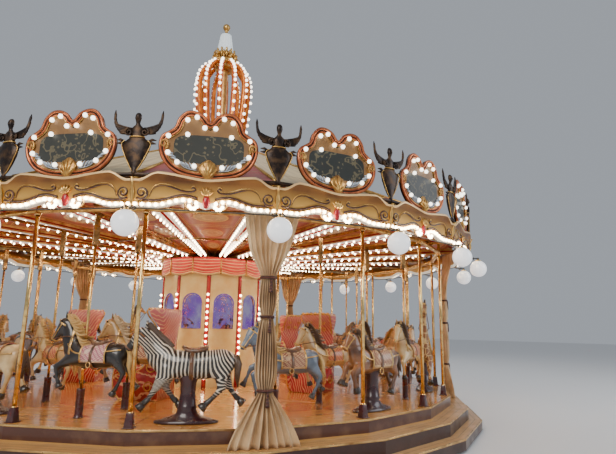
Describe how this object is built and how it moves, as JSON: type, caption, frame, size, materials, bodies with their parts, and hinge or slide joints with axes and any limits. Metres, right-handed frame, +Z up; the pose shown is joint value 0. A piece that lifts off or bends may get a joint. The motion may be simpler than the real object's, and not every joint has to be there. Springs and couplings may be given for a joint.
{
  "type": "carousel",
  "caption": "Fairground carousel: jumping horses, zebras and chariots on a turntable hung on brass rods under a crested canopy with a ribbed crown and spire.",
  "frame": {"origin": "on the ground under the centre mast", "axes": "+Z up along the mast, -Y towards the front curtain of the rest position, +X to the right seen from there"},
  "size_m": [10.4496, 10.4496, 8.262],
  "materials": {
    "dark_iron": "satin",
    "cream_board": "gloss paint",
    "red_cloth": "velvet",
    "deck_boards": "varnished",
    "maroon_board": "gloss paint",
    "gilt_steel": "gilt",
    "polished_steel": "greased",
    "red_board": "gloss paint",
    "gilt_board": "gilt",
    "bronze_casting": "bronzed",
    "opal_glass": "opal",
    "cream_sheet": "matt",
    "white_spire": "gloss",
    "brass_rod": "polished",
    "satin_curtain": "satin",
    "painted_horse": "gloss",
    "painted_pedestal_horse": "gloss",
    "painted_zebra": "gloss",
    "painted_giraffe": "gloss",
    "painted_chariot": "gloss"
  },
  "bodies": {
    "base": {"base_frame": "dark_iron", "centre_mast": "dark_iron", "centre_casing": "cream_board", "casing_valance": "red_cloth"},
    "turntable": {"platform_deck": "deck_boards", "platform_joists": "dark_iron", "platform_fascia": "maroon_board", "upper_step": "deck_boards", "lower_step": "deck_boards", "sweep_frame": "gilt_steel", "crank_shafts": "polished_steel", "ceiling": "red_board", "rounding_boards": "gilt_board", "crest": "bronze_casting", "globe_lamps": "opal_glass", "roof": "cream_sheet", "roof_crown": "gilt_steel", "crown_spire": "white_spire", "drop_rods": "brass_rod", "curtain_1": "satin_curtain", "curtain_2": "satin_curtain", "curtain_3": "satin_curtain", "curtain_4": "satin_curtain", "curtain_5": "satin_curtain", "pedestal_horse_1": "painted_pedestal_horse", "pedestal_horse_2": "painted_pedestal_horse", "pedestal_horse_3": "painted_pedestal_horse", "pedestal_horse_4": "painted_pedestal_horse", "pedestal_horse_5": "painted_pedestal_horse", "zebra_1": "painted_zebra", "giraffe_2": "painted_giraffe", "zebra_3": "painted_zebra", "giraffe_4": "painted_giraffe", "zebra_5": "painted_zebra", "chariot_1": "painted_chariot", "chariot_2": "painted_chariot", "chariot_3": "painted_chariot", "chariot_4": "painted_chariot", "chariot_5": "painted_chariot"},
    "jumpers_leading": {"horse_leading_1": "painted_horse", "horse_leading_2": "painted_horse", "horse_leading_3": "painted_horse", "horse_leading_4": "painted_horse", "horse_leading_5": "painted_horse"},
    "jumpers_following": {"horse_following_1": "painted_horse", "horse_following_2": "painted_horse", "horse_following_3": "painted_horse", "horse_following_4": "painted_horse", "horse_following_5": "painted_horse"},
    "jumpers_inner": {"horse_inner_1": "painted_horse", "horse_inner_2": "painted_horse", "horse_inner_3": "painted_horse", "horse_inner_4": "painted_horse", "horse_inner_5": "painted_horse"},
    "jumpers_middle": {"horse_middle_1": "painted_horse", "horse_middle_2": "painted_horse", "horse_middle_3": "painted_horse", "horse_middle_4": "painted_horse", "horse_middle_5": "painted_horse"}
  },
  "joints": [
    {"name": "turntable_spin", "type": "hinge", "parent": "base", "child": "turntable", "pos_m": [0, 0, 0], "axis": [0, 0, 1], "continuous": true},
    {"name": "leading_jump", "type": "slide", "parent": "turntable", "child": "jumpers_leading", "axis": [0, 0, 1], "range_m": [-0.18, 0.12]},
    {"name": "following_jump", "type": "slide", "parent": "turntable", "child": "jumpers_following", "axis": [0, 0, 1], "range_m": [-0.12, 0.18]},
    {"name": "inner_jump", "type": "slide", "parent": "turntable", "child": "jumpers_inner", "axis": [0, 0, 1], "range_m": [-0.18, 0.12]},
    {"name": "middle_jump", "type": "slide", "parent": "turntable", "child": "jumpers_middle", "axis": [0, 0, 1], "range_m": [-0.12, 0.18]}
  ],
  "couplings": [
    {"joint": "following_jump", "follows": "leading_jump", "ratio": -1},
    {"joint": "inner_jump", "follows": "leading_jump", "ratio": 1},
    {"joint": "middle_jump", "follows": "leading_jump", "ratio": -1}
  ]
}
